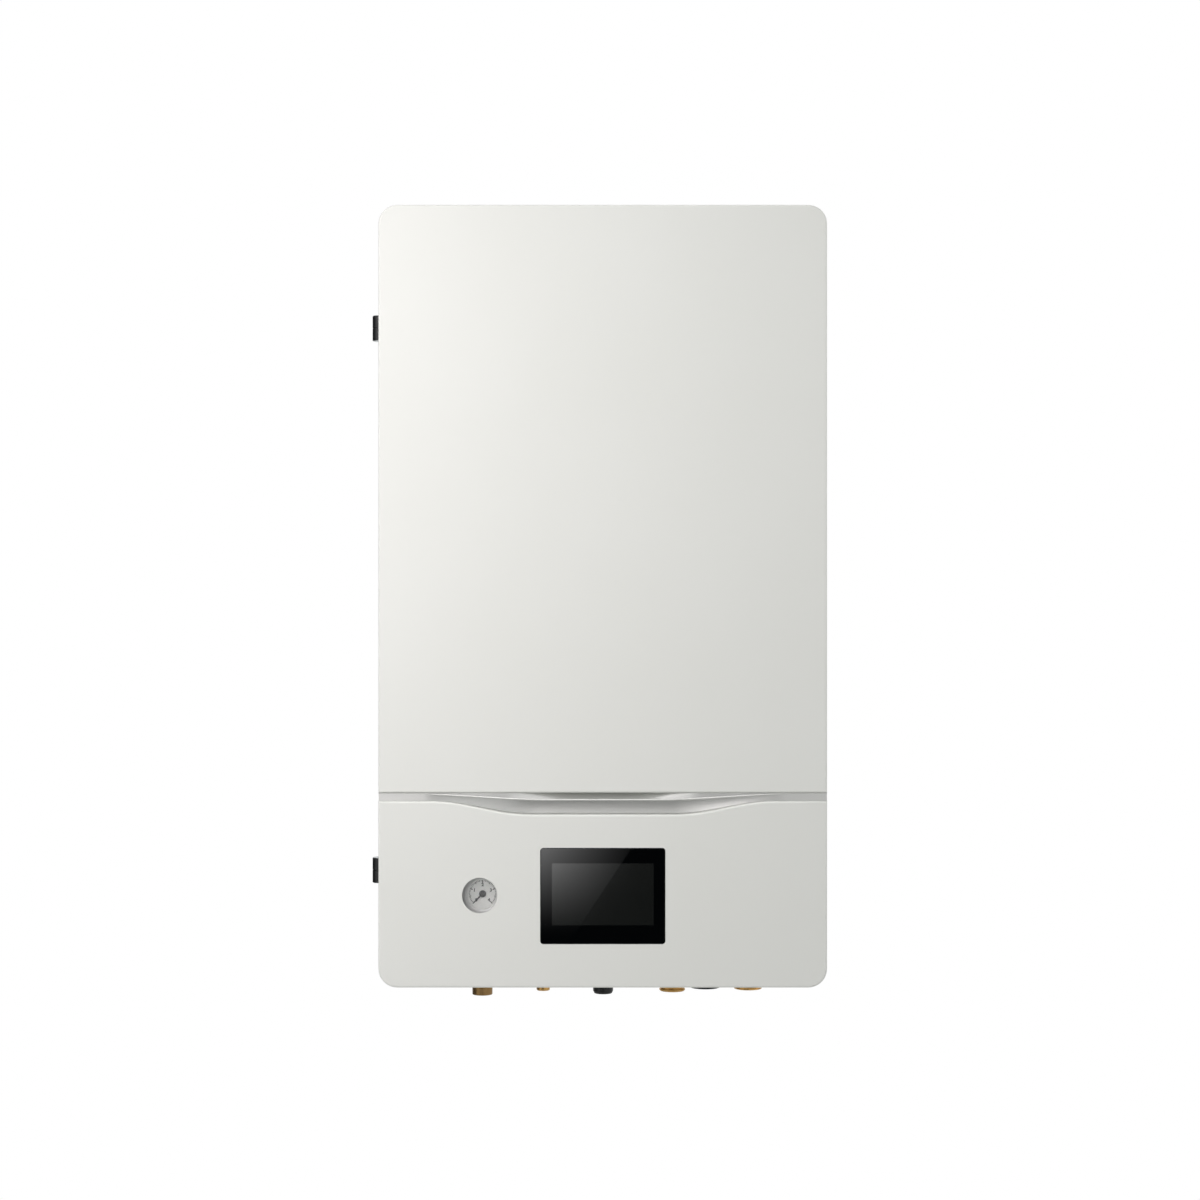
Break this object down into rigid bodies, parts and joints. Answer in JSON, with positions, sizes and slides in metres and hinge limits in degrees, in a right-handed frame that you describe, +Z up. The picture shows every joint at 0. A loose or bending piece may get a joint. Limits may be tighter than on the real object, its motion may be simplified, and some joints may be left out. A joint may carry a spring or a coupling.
{
  "type": "heat pump indoor unit",
  "caption": "Wall-hung indoor unit of an air-to-water heat pump: a rounded white cabinet with a hinged door, finger grip, pressure gauge, display and pipe connections below.",
  "frame": {"origin": "on the wall plane, at the middle of the wall bracket's four screw slots", "axes": "+X to the right of someone facing the unit, +Y into the wall, +Z up"},
  "size_m": [0.4592, 0.31, 0.8264],
  "materials": {
    "white_steel": "satin powder coat",
    "galvanised_steel": "galvanised",
    "silver_plastic": "metallic silver",
    "black_plastic": "fine texture",
    "black_glass": "gloss",
    "screen": "dark screen",
    "rubber": "matt",
    "foam": "closed-cell foam",
    "brass": "machined",
    "copper": "drawn copper",
    "stainless": "pressed stainless steel",
    "cast_iron": "dipped black",
    "red_paint": "satin paint",
    "red_plastic": "gloss",
    "dial_white": "printed",
    "clear_plastic": "clear",
    "board_green": "lacquered circuit board",
    "grey_plastic": "fine texture",
    "zinc": "zinc plated"
  },
  "bodies": {
    "cabinet": {"wall_bracket": "galvanised_steel", "wall_spacers": "rubber", "back_panel": "galvanised_steel", "left_side_panel": "white_steel", "right_side_panel": "white_steel", "top_panel": "white_steel", "bottom_plate": "white_steel", "front_frame": "galvanised_steel", "door_seal": "rubber", "hinge_case_leaves": "black_plastic", "hinge_pins": "zinc", "case_screws": "zinc", "control_box": "galvanised_steel", "control_box_cover": "galvanised_steel", "main_board": "board_green", "terminal_blocks": "grey_plastic", "thermal_cutout": "black_plastic", "expansion_vessel": "red_paint", "vessel_pipe": "copper", "component_brackets": "galvanised_steel", "plate_heat_exchanger": "stainless", "pump_volute": "cast_iron", "pump_motor": "cast_iron", "pump_control_head": "black_plastic", "heater_tank": "stainless", "heater_element": "brass", "low_water_pipe": "copper", "high_water_pipe": "copper", "riser_pipes": "copper", "refrigerant_pipes": "copper", "flow_sensor": "black_plastic", "air_vent_body": "brass", "safety_valve_body": "brass", "discharge_pipe": "clear_plastic", "gauge_case": "grey_plastic", "gauge_dial": "dial_white", "gauge_lens": "clear_plastic", "gauge_bracket": "galvanised_steel", "gauge_capillary": "copper", "flare_unions": "brass", "water_return_nipple": "brass", "water_supply_nipple": "brass", "drain_spigot": "black_plastic", "cable_grommet": "rubber"},
    "door": {"upper_front_panel": "white_steel", "lower_front_panel": "white_steel", "grip_rail": "silver_plastic", "door_inner_frame": "galvanised_steel", "door_insulation": "foam", "display_glass": "black_glass", "display_screen": "screen", "display_housing": "black_plastic", "hinge_door_leaves": "black_plastic"},
    "gauge_pointer": {"gauge_pointer": "grey_plastic"},
    "pump_rotor": {"pump_rotor": "zinc"},
    "safety_valve_knob": {"safety_valve_knob": "red_plastic"},
    "reset_button": {"reset_button": "red_plastic"},
    "air_vent_cap": {"air_vent_cap": "black_plastic"}
  },
  "joints": [
    {"name": "door_hinge", "type": "hinge", "parent": "cabinet", "child": "door", "pos_m": [-0.225, -0.2667, -0.3205], "axis": [0, 0, -1], "range_deg": [0, 120]},
    {"name": "gauge_pointer_turn", "type": "hinge", "parent": "cabinet", "child": "gauge_pointer", "pos_m": [-0.12101, -0.295, -0.6175], "axis": [0, 1, 0], "range_deg": [0, 270], "stiffness_Nm_per_rad": 0.0004},
    {"name": "pump_rotor_spin", "type": "hinge", "parent": "cabinet", "child": "pump_rotor", "pos_m": [0.07798, -0.16, -0.59], "axis": [0, 1, 0], "continuous": true},
    {"name": "safety_valve_knob_turn", "type": "hinge", "parent": "cabinet", "child": "safety_valve_knob", "pos_m": [0.00301, -0.155, -0.536], "axis": [0, -1, 0], "range_deg": [0, 90]},
    {"name": "reset_button_press", "type": "slide", "parent": "cabinet", "child": "reset_button", "axis": [0, 1, 0], "range_m": [0, 0.002], "stiffness_N_per_m": 400},
    {"name": "air_vent_cap_turn", "type": "hinge", "parent": "cabinet", "child": "air_vent_cap", "pos_m": [0.04, -0.11, -0.19], "axis": [0, 0, 1], "range_deg": [0, 360]}
  ]
}
